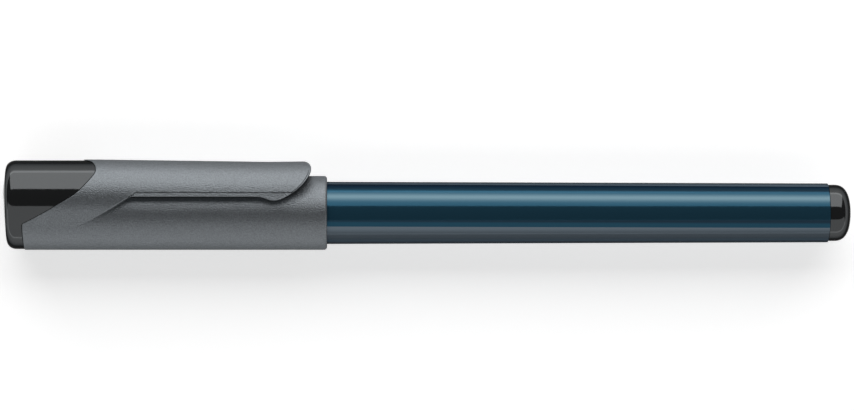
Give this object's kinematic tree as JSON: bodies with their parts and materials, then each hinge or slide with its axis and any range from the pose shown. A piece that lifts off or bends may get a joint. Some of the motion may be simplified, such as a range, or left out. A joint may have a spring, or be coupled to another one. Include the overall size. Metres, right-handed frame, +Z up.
{
  "type": "permanent marker",
  "caption": "Capped fibre-tip marker: tapered round barrel, domed tail plug, pull-off cap with an inner seal and a sprung pocket clip, fibre nib and ink reservoir.",
  "frame": {"origin": "on the surface the marker lies on, under the middle of its bounding box", "axes": "+X along the marker from the cap's closed end to the tail, +Y towards the pocket clip, +Z up, so the marker lies on its side"},
  "size_m": [0.1412, 0.015, 0.0146],
  "materials": {
    "satin_grey": "satin metallic grey with a fine grain",
    "gloss_black": "polished moulded black",
    "barrel_print": "dark petrol blue stripe on dark grey, glossy",
    "seal_white": "natural soft plastic",
    "nib_fibre": "hard fibre, stained by black ink",
    "reservoir_fibre": "fibre rod soaked with black ink",
    "clear_film": "thin clear film"
  },
  "bodies": {
    "marker": {"barrel": "barrel_print", "front_section": "gloss_black", "nib": "nib_fibre", "reservoir_core": "reservoir_fibre", "reservoir_wrap": "clear_film", "tail_plug": "gloss_black"},
    "cap": {"cap_shell": "satin_grey", "cap_end": "gloss_black", "inner_cap": "seal_white"},
    "clip": {"clip": "satin_grey"}
  },
  "joints": [
    {"name": "cap_pull", "type": "slide", "parent": "marker", "child": "cap", "axis": [-1, 0, 0], "range_m": [0, 0.05]},
    {"name": "clip_flex", "type": "hinge", "parent": "cap", "child": "clip", "pos_m": [-0.04865, 0.00685, 0.0073], "axis": [0, 0, 1], "range_deg": [0, 4], "stiffness_Nm_per_rad": 1}
  ]
}
